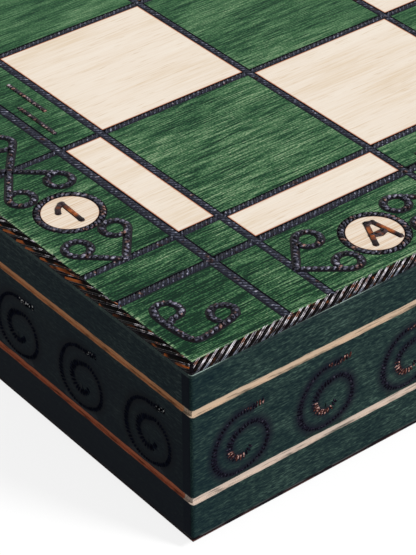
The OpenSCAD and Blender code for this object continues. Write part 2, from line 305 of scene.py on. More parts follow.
def rail_wood(name, grain, dim, line_colours):
    """The walls: teal stain, two bare lines, a burned lower edge, darker end grain and painted shade. grain is 0 along
    X and 1 along Y, and line_colours are those of the lower and the upper line."""
    f = Finish(name, roughness=0.6, specular=0.02)
    x, y, z = f.axes()
    outer = f.most(f.size(x), f.size(y))
    tone, colour = side_colour(f, grain, dim)

    # Painted shade: the left and right walls get darker towards the bottom, and the front and back ones towards the
    # corners
    if grain:
        middle, bottom = f.ease(z, RIM + 37 * MM, RIM + 25 * MM), f.ease(z, RIM + 20 * MM, RIM)
        colour = f.mix(f.add(f.times(middle, 0.6), f.times(bottom, 0.2)), colour, srgb(9, 12, 23))
    else:
        corner_shade = f.ease(f.size(x), EDGE - 17 * MM, EDGE - 3 * MM)
        colour = f.mix(f.times(corner_shade, 0.4), colour, srgb(10, 30, 38))

    end = f.times(
        f.above(f.size(x), EDGE - 0.02 * MM),
        f.ease(f.size(y), EDGE - 3.2 * MM, EDGE - 2.9 * MM),
    )
    colour = f.mix(end, colour, srgb(10, 17, 26))
    scorch_and_glint = f.times(f.ease(f.times(f.held("scorch_and_glint"), f.about(1.0, (tone, 1.0))), 0.0, 1.1), 0.85)
    colour = f.mix(scorch_and_glint, colour, srgb(10, 11, 18) if grain else srgb(20, 16, 31))

    # The lines are scraped by hand: their edges wander and flecks of stain stay in them
    wander = f.fibre(grain, 5, 2, 3)
    fleck = f.fibre(grain, 5, 0.34, 2)
    near_face = f.most(
        f.above(outer, EDGE - LINE_DEPTH - 0.05 * MM),
        f.below(f.size(y), FOLD_EDGE + LINE_DEPTH + 0.05 * MM),
    )
    for height, line in zip(LINE_HEIGHTS, line_colours):
        off = f.add(f.size(f.add(z, -height)), f.times(f.add(wander, -0.5), 0.6 * MM))
        here = f.times(f.ease(off, 0.98 * MM, 0.76 * MM), near_face)
        shade = f.mix(f.ease(fleck, 0.52, 0.72), line, tuple(0.42 * c for c in line[:3]) + (1.0,))
        colour = f.mix(here, colour, shade)

    # The rim is burned, with two paler threads along it
    height = f.math("DIVIDE", f.add(f.add(z, -RIM), f.times(f.add(wander, -0.5), 0.3 * MM)), RIM_BURN)
    threads = f.ramp(
        height,
        (0.28, 20, 16, 22), (0.36, 112, 76, 68), (0.46, 104, 70, 64),
        (0.56, 20, 17, 22), (0.7, 22, 20, 24), (0.8, 70, 72, 72),
    )
    glint = f.ease(f.fibre(grain, 5, 2, 1), 0.38, 0.56)
    burned = f.mix(f.times(glint, 0.25 if grain else 1.0), srgb(18, 15, 20), threads)
    colour = f.mix(f.ease(height, 1.0, 0.84), colour, burned)
    f.bump(tone, 0.05 * MM, 0.5)
    return f.finish(colour, f.add(f.times(tone, 0.2), 0.5))


def burned_cord(name, low, high, pale, brown, gloss=0.34, deep=(15, 14, 21)):
    """Scorched twisted cord, lit and shaded by height in its colour: the deep colour low between its strands is the
    scorch deepened as painted shade, navy is on their tops, and the pale colour on the highest is a painted highlight.
    low and high are millimetres above the playing surface, and brown sets how much of the cord is rusty."""
    f = Finish(name, roughness=gloss, specular=0.08)
    rise = f.ease(f.axes()[2], TOP + low * MM, TOP + high * MM)
    speck = f.noise(0.7, 1)
    warm = f.noise(1.9, 1)
    # Painted light by height: darker low between the strands, lighter towards their tops, painted highlights on the
    # highest
    lit_crest = f.times(rise, f.ease(speck, 0.26, 0.74))
    navy = f.ramp(lit_crest, (0.08, *deep), (0.42, 44, 46, 58), (0.86, *pale), (1.0, 168, 166, 178))
    rust = f.ramp(lit_crest, (0.08, 17, 11, 14), (0.42, 66, 44, 43), (0.82, 152, 116, 104))
    start = 0.66 - 0.14 * brown
    return f.finish(f.mix(f.ease(warm, start, start + 0.1), navy, rust), f.add(f.times(speck, 0.3), gloss - 0.1))


def spiral_finish(name):
    """Hatching of the spirals: black on the front and back, and navy on the left and right. Where the mesh's held
    value is high there are painted glints, copper-coloured on the first and pale on the second."""
    f = Finish(name, roughness=0.6, specular=0.0)
    at_side = f.on_side()
    speck = f.noise(0.5, 1)
    warm = f.noise(1.6, 1)
    black = f.ramp(speck, (0.4, 13, 11, 18), (0.6, 28, 26, 38), (0.76, 68, 66, 78))
    navy = f.ramp(speck, (0.4, 13, 15, 25), (0.7, 23, 27, 43))
    # Painted glints: copper-coloured on the front and back, and pale on the left and right
    copper_glints = f.ramp(speck, (0.34, 48, 26, 25), (0.52, 92, 54, 46), (0.66, 190, 152, 142))
    pale = f.ramp(speck, (0.48, 3, 3, 5), (0.58, 20, 20, 22), (0.66, 225, 225, 225))
    glint = f.ease(f.add(f.held("scorch_and_glint"), f.about(0.0, (warm, 1.2))), 0.4, 0.62)
    return f.finish(f.mix(glint, f.mix(at_side, black, navy), f.mix(at_side, copper_glints, pale)))


def rope_finish():
    """Dark glossy strands of the roped edge, with orange-brown stretches low on the board's left and right."""
    f = Finish("rope_edge", roughness=0.3, specular=0.02)
    at_side = f.on_side()
    low = f.ease(f.axes()[2], TOP - 0.6 * MM, TOP - 1.2 * MM)
    stretch = f.noise((2.0, 7.0, 1.2), 1)
    fleck = f.noise((1.6, 1.6, 0.9), 1)
    share = f.add(f.times(at_side, f.about(-0.09, (stretch, 1.2))), f.times(low, f.times(at_side, 0.2)))
    share = f.add(share, f.times(f.math("SUBTRACT", 1.0, at_side), f.about(-0.07, (fleck, 0.6))))
    share = f.add(share, 0.5)
    front = f.ramp(share, (0.46, 12, 9, 10), (0.54, 42, 26, 16), (0.6, 96, 50, 26), (0.7, 172, 96, 50))
    side = f.ramp(share, (0.46, 3, 2, 2), (0.54, 34, 19, 10), (0.6, 104, 53, 25), (0.7, 196, 108, 54))
    return f.finish(f.mix(at_side, front, side), f.add(f.times(fleck, 0.2), 0.12))


def highlight_strand_finish():
    """Painted highlights of the roped edge: pale strands between the dark ones, bright near the top, blue-grey below
    and rusty in places, and broken up on the board's left and right."""
    f = Finish("rope_glints", roughness=0.25, specular=0.3)
    z = f.axes()[2]
    at_side = f.on_side()
    gap = f.noise((1.5, 1.5, 0.9), 2)
    warm = f.noise((3.2, 3.2, 1.4), 1)
    white = f.ramp(gap, (0.36, 52, 44, 50), (0.46, 136, 128, 134), (0.6, 222, 217, 222))
    rust = f.ramp(gap, (0.36, 40, 24, 20), (0.62, 150, 98, 78))
    lower = f.ramp(gap, (0.4, 24, 22, 28), (0.62, 116, 122, 136))
    colour = f.mix(f.ease(warm, 0.56, 0.62), white, rust)
    colour = f.mix(f.ease(z, TOP - 0.9 * MM, TOP - 1.4 * MM), colour, lower)
    hidden = f.most(f.ease(z, TOP - 0.7 * MM, TOP - 1.2 * MM), f.ease(gap, 0.58, 0.48))
    return f.finish(f.mix(f.times(at_side, hidden), colour, srgb(4, 3, 3)))


def core_finish():
    """The shadowed bottom of the roped edge."""
    f = Finish("scorched_core", roughness=0.8, specular=0.02)
    soot = f.noise(0.8, 2)
    return f.finish(f.ramp(soot, (0.35, 8, 6, 8), (0.7, 25, 22, 28)))


def label_finish():
    """Burned strokes: a brown middle between dark edges."""
    f = Finish("label_brown", roughness=0.35, specular=0.1)
    rise = f.ease(f.axes()[2], TOP + 0.12 * MM, TOP + 0.26 * MM)
    streak = f.noise(1.3, 2)
    brown = f.ramp(streak, (0.34, 84, 42, 26), (0.5, 134, 70, 34), (0.66, 176, 98, 50))
    black = f.ramp(streak, (0.34, 18, 11, 14), (0.52, 36, 24, 27), (0.7, 84, 66, 68))
    burned = f.ease(f.add(f.held("scorch_and_glint"), f.about(0.0, (streak, 1.0))), 0.2, 0.85)
    return f.finish(f.mix(rise, srgb(34, 18, 17), f.mix(burned, brown, black)))


def felt_finish():
    f = Finish("green_felt", roughness=1.0, specular=0.1)
    nap = f.noise(0.5, 3, 0.7)
    cloud = f.noise(18, 2)
    tone = f.add(f.times(nap, 0.7), f.times(cloud, 0.3))
    f.shader.inputs["Sheen Weight"].default_value = 0.3
    f.bump(nap, 0.3 * MM, 0.8)
    return f.finish(f.ramp(tone, (0.35, 28, 70, 44), (0.65, 52, 108, 70)))


def brass_finish():
    f = Finish("brass", roughness=0.32, metallic=1.0)
    smear = f.noise((6, 6, 1.2), 3)
    spot = f.noise(1.1, 2)
    tone = f.add(f.times(smear, 0.5), f.times(spot, 0.5))
    colour = f.ramp(tone, (0.36, 168, 124, 62), (0.62, 222, 182, 104))
    f.bump(spot, 0.02 * MM, 0.4)
    return f.finish(colour, f.add(f.times(smear, 0.3), 0.18))


# Geometry


def placed(name, data):
    """A new object in the scene."""
    piece = bpy.data.objects.new(name, data)
    bpy.context.scene.collection.objects.link(piece)
    return piece


def quad_object(name, chunks, material, body, scorch_and_glint=None):
    """One object from (vertices, quads) chunks, on a body. The last argument gives a value at each of its corners, or
    at those of a part that repeats, for the finishes to read: how burned a place is, and on a spiral cord how much
    painted glint it has."""
    vertices = np.concatenate([chunk[0] for chunk in chunks])
    offsets = np.cumsum([0] + [len(chunk[0]) for chunk in chunks[:-1]])
    quads = np.concatenate([chunk[1] + offset for chunk, offset in zip(chunks, offsets)])
    mesh = bpy.data.meshes.new(name)
    mesh.vertices.add(len(vertices))
    mesh.vertices.foreach_set("co", vertices.astype(np.float32).ravel())
    mesh.loops.add(quads.size)
    mesh.loops.foreach_set("vertex_index", quads.astype(np.int32).ravel())
    mesh.polygons.add(len(quads))
    mesh.polygons.foreach_set("loop_start", np.arange(0, quads.size, 4, dtype=np.int32))
    mesh.polygons.foreach_set("use_smooth", np.ones(len(quads), dtype=bool))
    mesh.update(calc_edges=True)
    if scorch_and_glint is not None:
        mesh.attributes.new("scorch_and_glint", "FLOAT", "POINT").data.foreach_set("value", np.resize(scorch_and_glint, len(vertices)))
    mesh.materials.append(material)
    piece = placed(name, mesh)
    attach(piece, body)


def turned(chunk):
    """The chunk, turned half round about the board's middle."""
    return chunk[0] * (-1, -1, 1), chunk[1]


def unit(vectors):
    return vectors / np.linalg.norm(vectors, axis=-1, keepdims=True)


def resampled(points, spacing):
    """Evenly spaced points along a line through the given ones, and their tangents."""
    points = np.asarray(points, dtype=float)
    lengths = np.concatenate([[0.0], np.cumsum(np.linalg.norm(np.diff(points, axis=0), axis=1))])
    count = max(int(round(lengths[-1] / spacing)), 2)
    places = np.linspace(0, lengths[-1], count + 1)
    spots = np.stack([np.interp(places, lengths, points[:, axis]) for axis in range(3)], axis=1)
    return spots, unit(np.gradient(spots, axis=0))


DOME_SIDES = 8
DOME_RINGS = ((1.0, 0.0), (0.8, 0.78))


def domes(centres, forward, normal, half_length, half_width, height):
    """Low domes on a surface: one at each centre, long in the forward direction. Sizes are numbers or one for each."""
    angles = np.arange(DOME_SIDES) * 2 * math.pi / DOME_SIDES
    shape = [(r * math.cos(t), r * math.sin(t), h) for r, h in DOME_RINGS for t in angles] + [(0.0, 0.0, 1.0)]
    sizes = [np.broadcast_to(size, len(centres)) for size in (half_length, half_width, height)]
    local = np.array(shape)[None] * np.stack(sizes, axis=1)[:, None, :]
    across = np.cross(normal, forward)
    axes = np.stack([forward, across, np.broadcast_to(normal, forward.shape)], axis=1)
    vertices = centres[:, None, :] + local @ axes
    top = 2 * DOME_SIDES
    quads = [
        (i, (i + 1) % DOME_SIDES, DOME_SIDES + (i + 1) % DOME_SIDES, DOME_SIDES + i) for i in range(DOME_SIDES)
    ] + [(DOME_SIDES + i, DOME_SIDES + i + 1, DOME_SIDES + (i + 2) % DOME_SIDES, top) for i in range(0, DOME_SIDES, 2)]
    steps = np.arange(len(centres))[:, None, None] * len(shape)
    return vertices.reshape(-1, 3), (np.array(quads)[None] + steps).reshape(-1, 4)


RANDOM = np.random.default_rng(31)


def cord(points, normal, width, height, pitch, lean, strand, ragged=0.0, second=1.0):
    """A twisted cord of leaning domes along a line. width is a number or one for each point, ragged, from 0 to 1,
    makes them uneven, and second is the share of the height that every other one has."""
    spots, tangents = resampled(points, pitch)
    if np.ndim(width):
        width = np.interp(np.linspace(0, 1, len(spots)), np.linspace(0, 1, len(width)), width)
    swing = ragged * RANDOM.uniform(-1, 1, (4, len(spots)))
    normal = np.asarray(normal, dtype=float)
    side = np.cross(normal, tangents)
    lean = (math.radians(lean) * (1 + 0.25 * swing[0]))[:, None]
    forward = np.cos(lean) * tangents + np.sin(lean) * side
    spots = spots + tangents * (0.25 * pitch * swing[1])[:, None] + side * (0.08 * strand * swing[2])[:, None]
    half_length = np.maximum((width - strand * np.cos(lean[:, 0])) / np.sin(lean[:, 0]), strand) / 2
    rise = np.where(np.arange(len(spots)) % 2, second, 1.0)
    return domes(spots, forward, normal, half_length, strand / 2, height * rise * (1 + 0.3 * swing[3]))


def ring_quads(count, corners):
    """The quads of a tube of rings, with its two ends closed. A ring has an even number of corners."""
    ring = np.arange(corners)
    one = np.stack([ring, (ring + 1) % corners, (ring + 1) % corners + corners, ring + corners], axis=1)
    quads = (one[None] + np.arange(count - 1)[:, None, None] * corners).reshape(-1, 4)
    cap = np.array([(0, i, i + 1, i + 2) for i in range(1, corners - 2, 2)])
    return np.concatenate([quads, cap[:, ::-1], cap + (count - 1) * corners])


def sweep(points, profile, normal, pitch):
    """A closed profile swept along a line. profile is its right half, as (across, up) corners, and the left mirrors
    it."""
    profile = [*profile, *((-side, up) for side, up in reversed(profile))]
    spots, tangents = resampled(points, pitch)
    across = unit(np.cross(normal, tangents))
    sideways, up = np.array(profile).T[..., None]
    vertices = spots[:, None, :] + sideways * across[:, None, :] + up * np.asarray(normal)
    return vertices.reshape(-1, 3), ring_quads(len(spots), len(profile))


BED_HEIGHT = 0.06 * MM
BED_SINK = 0.1 * MM
HALO_SCORCH = (0, 0, 1, 1, 0, 0)


def bed(points, width):
    """A thin burned strip under a cord, sunk a little into the surface."""
    low, high = width / 2, width / 2 - BED_HEIGHT
    return sweep(points, [(low, -BED_SINK), (high, BED_HEIGHT)], UP, 0.6 * MM)


def halo(points, width, fade, normal=UP, pitch=0.6 * MM):
    """A thin strip of the surface's own wood, for halo_scorch to burn. Its edges and ends slope into the surface."""
    inner, outer, hidden = (width / 2 + share * fade for share in (0, 1, 1.5))
    profile = [(hidden, -0.05 * MM), (outer, -0.005 * MM), (inner, 0.03 * MM)]
    vertices, quads = sweep(points, profile, normal, pitch)
    rings = vertices.reshape(-1, len(HALO_SCORCH), 3)
    from_end = np.minimum(np.arange(len(rings)), np.arange(len(rings))[::-1])
    narrow = np.interp(from_end, (0, 3), (0.3, 1))[:, None, None]
    sink = np.interp(from_end, (0, 1, 2, 3), (0.09, 0.05, 0.02, 0))[:, None, None] * MM
    middles = rings.mean(axis=1, keepdims=True)
    return (middles + (rings - middles) * narrow - sink * normal).reshape(-1, 3), quads


def halo_scorch(halos):
    """How burned each corner of some halos is: their edges and their ends aren't."""
    burned = []
    for vertices, quads in halos:
        steps = np.arange(len(vertices) // len(HALO_SCORCH))
        burned.append(np.outer(np.minimum(np.minimum(steps, steps[::-1]) / 2, 1), HALO_SCORCH).ravel())
    return np.concatenate(burned)


def on_board(points):
    """Points of the playing surface from places in squares, from the squares' near left corner."""
    return [(-SQUARES_HALF + u * SQUARE, -SQUARES_HALF + v * SQUARE, TOP) for u, v in points]


ARC_POINTS = 14


def arc(centre, radius, start, sweep_angle):
    """Places on an arc, with angles in degrees."""
    angles = np.radians(start + np.linspace(0, sweep_angle, ARC_POINTS))
    return [(centre[0] + radius * math.cos(t), centre[1] + radius * math.sin(t)) for t in angles]


# Straight grooves of the near half, as (place, width) pairs
FILE_GROOVES = [(k * SQUARE, SQUARE_GROOVE) for k in range(-3, 4)] + [
    (side * place, width)
    for side in (-1, 1)
    for place, width in ((SQUARES_HALF, INNER_GROOVE), (STRIP_EDGE, OUTER_GROOVE))
]
RANK_GROOVES = [(-k * SQUARE, SQUARE_GROOVE) for k in range(1, 4)] + [
    (-SQUARES_HALF, INNER_GROOVE),
    (-STRIP_EDGE, OUTER_GROOVE),
]
GROOVE_BED = TOP - 0.16 * MM
GROOVE_CORD = 0.24 * MM
GROOVE_REACH = EDGE - ROPE_WIDTH


def groove_line(start, end, width):
    """A flat core that fills most of a groove, and a cord on it."""
    low = TOP - GROOVE_DEPTH - 0.05 * MM - GROOVE_BED
    half = width / 2 + 0.02 * MM
    core = sweep([start, end], [(half, low), (half, 0)], UP, np.ptp([start, end], axis=0).max() / 2)
    step = unit(np.subtract(end, start)) * 0.3 * MM
    line = [start + step, end - step]
    strands = cord(line, UP, width + 0.3 * MM, GROOVE_CORD, 0.615 * MM, 48, 0.6 * MM, ragged=0.6, second=0.45)
    return [core, strands]


def groove_cords():
    """Cords in the near half's straight grooves. The ranks' cords stop where a file's cord passes."""
    chunks = []
    for x, width in FILE_GROOVES:
        chunks += groove_line((x, 0.3 * MM - GROOVE_REACH, GROOVE_BED), (x, -0.6 * MM, GROOVE_BED), width)
    stops = sorted((x - width / 2, x + width / 2) for x, width in FILE_GROOVES)
    starts = [0.3 * MM - GROOVE_REACH] + [high for low, high in stops]
    ends = [low for low, high in stops] + [GROOVE_REACH - 0.3 * MM]
    for y, width in RANK_GROOVES:
        for start, end in zip(starts, ends):
            chunks += groove_line((start, y, GROOVE_BED), (end, y, GROOVE_BED), width)
    return chunks


def disc_places():
    """Label discs of the whole board as (x, y, label, turned half round)."""
    places = []
    for k, (letter, number) in enumerate(zip("ABCDEFGH", "12345678")):
        middle = (k - 3.5) * SQUARE
        places += [(middle, side * FILE_DISC, letter, side > 0) for side in (-1, 1)]
        places += [(side * RANK_DISC, middle, number, side > 0) for side in (-1, 1)]
    return places


RING_BED = TOP - 0.2 * MM
RING_CORD = 0.48 * MM


def ring_cord(x, y):
    """The cord round a label disc, on a core that fills its groove."""
    radius = DISC_RADIUS + DISC_RING / 2
    angles = np.linspace(0, 2 * math.pi, 49)
    circle = [(x + radius * math.cos(t), y + radius * math.sin(t), RING_BED) for t in angles]
    half = DISC_RING / 2 + 0.06 * MM
    core = sweep(circle, [(half, -0.4 * MM), (half, 0)], UP, MM)
    return [core, cord(circle, UP, DISC_RING + 0.5 * MM, RING_CORD, 1.16 * MM, 44, 0.84 * MM, ragged=0.4)]


# Strokes of the labels in millimetres from the disc's centre, up towards the far side
STROKES = {
    "1": [[(-2.1, 1.2), (-1.2, 2.7), (0.3, 3.7)], [(0.6, 3.7), (0.5, 1), (0.3, -3.8)]],
    "2": [[(-2.2, 2.1), (-1.3, 3.4), (0.5, 3.7), (2, 2.5), (1.6, 0.8), (-2.3, -3.5), (2.5, -3.5)]],
    "3": [[(-2, 3.4), (1.9, 3.4), (-0.3, 0.7), (1.5, 0.2), (2.2, -1.5), (1.2, -3.2), (-0.8, -3.6), (-2.2, -2.5)]],
    "4": [[(2.5, -1.2), (-2.5, -1.2), (1.1, 3.7), (1.1, -3.8)]],
    "5": [[(2, 3.5), (-1.6, 3.5), (-1.9, 0.5), (0.6, 0.8), (2.1, -0.8), (1.4, -2.9), (-0.5, -3.6), (-2.1, -2.7)]],
    "6": [[(1.7, 3.2), (-0.3, 3.2), (-1.8, 0.8), (-2, -1.7), (-0.8, -3.5), (1.1, -3.4), (2.1, -1.7), (1.1, 0),
           (-0.7, 0), (-1.8, -1.2)]],
    "7": [[(-2.2, 3.5), (2.3, 3.5), (-0.6, -3.8)]],
    "8": [arc((0, 1.9), 1.6, -90, 360), arc((0, -1.8), 1.9, 90, 360)],
    "A": [[(0.8, 3.7), (-2.6, -3.3)], [(2.2, 3.3), (3.5, -4.1)], [(-1.2, -0.3), (2.2, -0.3)], [(0.8, 3.7), (2.2, 3.3)],
          [(-0.7, -0.6), (0.7, -1.2), (2.2, -0.7)]],
    "B": [[(-1.9, -3.7), (-1.9, 3.7), (0.9, 3.4), (1.5, 2), (0.8, 0.5), (-1.7, 0.3)],
          [(0.8, 0.4), (2.1, -1.2), (1.7, -3), (-1.7, -3.6)]],
    "C": [arc((0.3, 0), 3, 48, 264)],
    "D": [[(-1.9, -3.6), (-1.9, 3.6), (0.4, 3.3), (2.2, 1.5), (2.3, -1.3), (0.6, -3.3), (-1.7, -3.6)]],
    "E": [[(2.1, 3.5), (-1.8, 3.5), (-1.8, -3.5), (2.2, -3.5)], [(-1.6, 0.1), (1.5, 0.1)]],
    "F": [[(2.2, 3.5), (-1.7, 3.5), (-1.7, -3.8)], [(-1.5, 0.2), (1.5, 0.2)]],
    "G": [arc((0.3, 0), 3, 52, 258), [(0.6, -0.4), (2.7, -0.4), (2.7, -3)]],
    "H": [[(-2.1, -3.7), (-2.1, 3.7)], [(2.1, -3.7), (2.1, 3.7)], [(-1.9, 0.1), (1.9, 0.1)]],
}
STROKE_WIDTH = 1.4 * MM
STROKE_HEIGHT = 0.3 * MM
STROKE_PITCH = 0.4 * MM


def label(x, y, text, half_turn):
    """Raised strokes of one label, and how burned each corner is: most at a stroke's ends."""
    way = -MM if half_turn else MM
    w, h = STROKE_WIDTH / 2, STROKE_HEIGHT
    profile = [(w, -0.1 * MM), (0.9 * w, 0.3 * h), (0.6 * w, h)]
    strokes, burned = [], []
    for stroke in STROKES[text]:
        line = [(x + way * p, y + way * q, TOP) for p, q in stroke]
        strokes.append(sweep(line, profile, UP, STROKE_PITCH))
        places = np.arange(len(resampled(line, STROKE_PITCH)[0])) * STROKE_PITCH
        from_end = np.minimum(places, places[-1] - places)
        burned.append(np.repeat(np.interp(from_end, (0.8 * MM, 2.4 * MM), (1, 0)), 2 * len(profile)))
    return strokes, burned


def label_ends(x, y, text, half_turn):
    """Round burned ends of one label's strokes."""
    way = -MM if half_turn else MM
    ends = np.array([stroke[end] for stroke in STROKES[text] for end in (0, -1)])
    centres = np.column_stack([x + way * ends[:, 0], y + way * ends[:, 1], np.full(len(ends), TOP)])
    forward = np.broadcast_to([1.0, 0.0, 0.0], centres.shape)
    return domes(centres, forward, UP, 0.54 * STROKE_WIDTH, 0.54 * STROKE_WIDTH, 1.15 * STROKE_HEIGHT)


CURL_WIDTH = 1.84 * MM
CURL_RADIUS = 0.066
CURL_HEIGHT = 0.5 * MM
APEX = 0.59
HORN_SWEEP = 324


def horn(apex, centre, turn):
    """A stem from the apex that runs on into a loop. turn is 1 where the loop goes round to the left."""
    gap = np.subtract(apex, centre)
    open_angle = math.degrees(math.acos(CURL_RADIUS / math.hypot(*gap)))
    start = math.degrees(math.atan2(gap[1], gap[0])) + turn * open_angle
    return [apex] + arc(centre, CURL_RADIUS, start, turn * HORN_SWEEP)


# The double horn in a corner patch
CORNER_HORN = [
    (-0.745, -0.556), (-0.722, -0.533), (-0.672, -0.532), (-0.640, -0.505), (-0.634, -0.462), (-0.655, -0.418),
    (-0.697, -0.398), (-0.742, -0.415), (-0.766, -0.462), (-0.768, -0.530), (-0.764, -0.620), (-0.753, -0.695),
    (-0.738, -0.727), (-0.711, -0.739), (-0.650, -0.733), (-0.583, -0.722), (-0.510, -0.708), (-0.456, -0.688),
    (-0.432, -0.645), (-0.450, -0.600), (-0.502, -0.578), (-0.548, -0.598), (-0.569, -0.640), (-0.559, -0.686),
]
# Loops at a rank's end on the left border and at a file's end on the front one: (along, outwards)
RANK_LOOPS = ((0.213, 0.136), (0.247, -0.116), (-0.250, 0.097), (-0.226, -0.157))
FILE_LOOPS = ((0.206, -0.160), (0.239, 0.107), (-0.245, -0.120), (-0.240, 0.105))


def loops(last, table):
    """Each (place, along, outwards, turn) of a border's loops. None reaches past the first and the last place."""
    return [
        (k, step, out, 1 if (step > 0) == (out > 0) else -1) for k in range(last + 1) for step, out in table
        if not (k == 0 and step < 0) and not (k == last and step > 0)
    ]


def curl_lines():
    """Centre lines of the near half's curls, as places in squares from its near left corner."""
    lines = [CORNER_HORN, [(8 - u, v) for u, v in CORNER_HORN]]
    for k, step, out, turn in loops(4, RANK_LOOPS):
        start = k - 0.03 if k == 4 else k
        line = horn((-APEX, start), (-APEX - out, k + step), -turn)
        lines += [line, [(8 - u, v) for u, v in line]]
    return lines + [
        horn((k, -APEX), (k + step, -APEX - out), turn) for k, step, out, turn in loops(8, FILE_LOOPS)
    ]


def curls():
    """Scorched surroundings, beds and cords of the near half's curls."""
    halos, cords = [], []
    for line in curl_lines():
        points = on_board(line)
        halos.append(halo(points, CURL_WIDTH, 0.15 * MM))
        cords.append(bed(points, CURL_WIDTH))
        cords.append(cord(points, UP, CURL_WIDTH, CURL_HEIGHT, 1.27 * MM, 46, 0.96 * MM, ragged=0.5))
    return halos, cords


# Each dash of a cell: its distance from the squares, and its start and end along the cell, all in squares
DASHES = ((0.10, 0.37, 0.71), (0.19, 0.15, 0.48))
DASH_WIDTH = 1.25 * MM


def strip_dashes(body_side):
    """Two thin staggered dashes in each green cell of the strip. body_side is -1 near and 1 far."""
    chunks = []
    for side in (-1, 1):
        for k in range(1 if side < 0 else 0, 8, 2):
            for inset, low, high in DASHES:
                place = -inset if side < 0 else 8 + inset
                if (k < 4) == (body_side < 0):
                    chunks += dash([(place, k + low), (place, k + high)], (side, 0, 0))
                if side == body_side:
                    chunks += dash([(k + low, place), (k + high, place)], (0, side, 0))
    return chunks


def dash(places, out):
    """A burned line with a row of small beads along its outer side. out is the direction outwards."""
    points = np.array(on_board(places))
    # The beads sit outwards of the line's middle, so that its burned bed shows along their inner side as painted shade;
    # their pale tops are painted highlights
    beads = cord(points + np.multiply(out, 0.2 * MM), UP, DASH_WIDTH, 0.38 * MM, 1.04 * MM, 62, 0.7 * MM, ragged=0.4)
    return [bed(points, DASH_WIDTH), beads]


ROPE_INNER = EDGE - ROPE_WIDTH - 0.15 * MM
# The middle line of the roped edge's strands is a quarter of an ellipse, this far out and this far up
ROPE_OUT = 1.0 * MM
ROPE_UP = 1.72 * MM
# A strand's reach along its side, the strands' spacing, and the radii of a dark strand and of the two pale
# strands beside it, which are painted highlights
FRONT_TWIST = np.array((5.6, 2.36, 0.44, 0.13, 0.085)) * MM
SIDE_TWIST = np.array((11.6, 4.2, 0.44, 0.085, 0.05)) * MM


def rope_sides():
    """The rope's inner line on each side of the near half, as (start, end, outward direction, twist)."""
    c, fold = ROPE_INNER, -FOLD_EDGE
    sides = (
        ((-c, fold), (-c, -EDGE), (-1.0, 0.0), SIDE_TWIST),
        ((-EDGE, -c), (EDGE, -c), (0.0, -1.0), FRONT_TWIST),
        ((c, -EDGE), (c, fold), (1.0, 0.0), SIDE_TWIST),
    )
    return [[np.array(item) for item in side] for side in sides]


def strand(start, end, out, place, reach, lift, radius):
    """A list with one strand that climbs from the wall to the top over the reach, or with none past the side's ends."""
    share = np.linspace(0, 1, 13)
    length = np.linalg.norm(end - start)
    along_side = (end - start) / length
    climb = np.radians(-18 + 114 * share)
    outward = (ROPE_OUT + lift) * np.cos(climb)
    spots = start + np.outer(place + share * reach, along_side) + np.outer(outward, out)
    height = TOP - ROPE_HEIGHT + (ROPE_UP + lift) * np.sin(climb)
    # A strand ends at the fold, and where it meets the next side's strands
    off_corner = np.abs(spots @ out) - np.abs(spots @ along_side)
    kept = (off_corner > 0.2 * MM) & (spots[:, 1] < -FOLD_EDGE - radius)
    if kept.sum() < 3:
        return []
    line = np.column_stack([spots, height])[kept]
    return [tube(line, radius * np.interp(np.linspace(0, 1, len(line)), [0, 0.1, 0.9, 1], [0.6, 1, 1, 0.6]))]


def rope():
    """The near half's roped edge: its core, its dark strands and the thin pale painted-highlight strands between them.
    """
    dark, pale = [], []
    for start, end, out, twist in rope_sides():
        length = np.linalg.norm(end - start)
        reach, spacing, radius, thin, second = twist
        for place in np.arange(-reach, length, spacing):
            nudge, size, other = RANDOM.uniform(-1, 1, 3)
            place = place + 0.15 * spacing * nudge
            # The two pale strands beside each dark one are painted highlights
            pieces = (
                (dark, place, 0.0, radius * (1 + 0.12 * size)),
                (pale, place + spacing * (0.32 + 0.05 * other), 0.72 * radius, thin),
                (pale, place + spacing * (0.56 + 0.06 * size), 0.8 * radius, second),
            )
            for kind, at, lift, thickness in pieces:
                kind += strand(start, end, out, at, reach, lift, thickness)
    return [rope_core()], dark, pale


def rope_core():
    """The dark body under the rope's strands, mitred at the corners."""
    c = ROPE_INNER
    bases = np.array([(-c, -FOLD_EDGE), (-c, -c), (c, -c), (c, -FOLD_EDGE)])
    outs = np.array([(-1, 0), (-1, -1), (1, -1), (1, 0)])
    profile = np.array([(0.1, -2.0), (1.28, -2.1), (1.18, -1.5), (0.95, -0.9), (0.55, -0.4), (0.1, -0.15)]) * MM
    vertices = np.array([
        (*(base + out * across), TOP + lift) for base, out in zip(bases, outs) for across, lift in profile
    ])
    return vertices, ring_quads(len(bases), len(profile))


STRAND_SIDES = 6


def tube(line, radii):
    """A round strand along a line, with a radius at each point."""
    tangents = unit(np.gradient(line, axis=0))
    across = unit(np.cross(UP, tangents))
    lift = np.cross(tangents, across)
    angles = np.arange(STRAND_SIDES) * 2 * math.pi / STRAND_SIDES
    ring = across[:, None, :] * np.cos(angles)[None, :, None] + lift[:, None, :] * np.sin(angles)[None, :, None]
    vertices = line[:, None, :] + ring * np.asarray(radii)[:, None, None]
    return vertices.reshape(-1, 3), ring_quads(len(line), STRAND_SIDES)


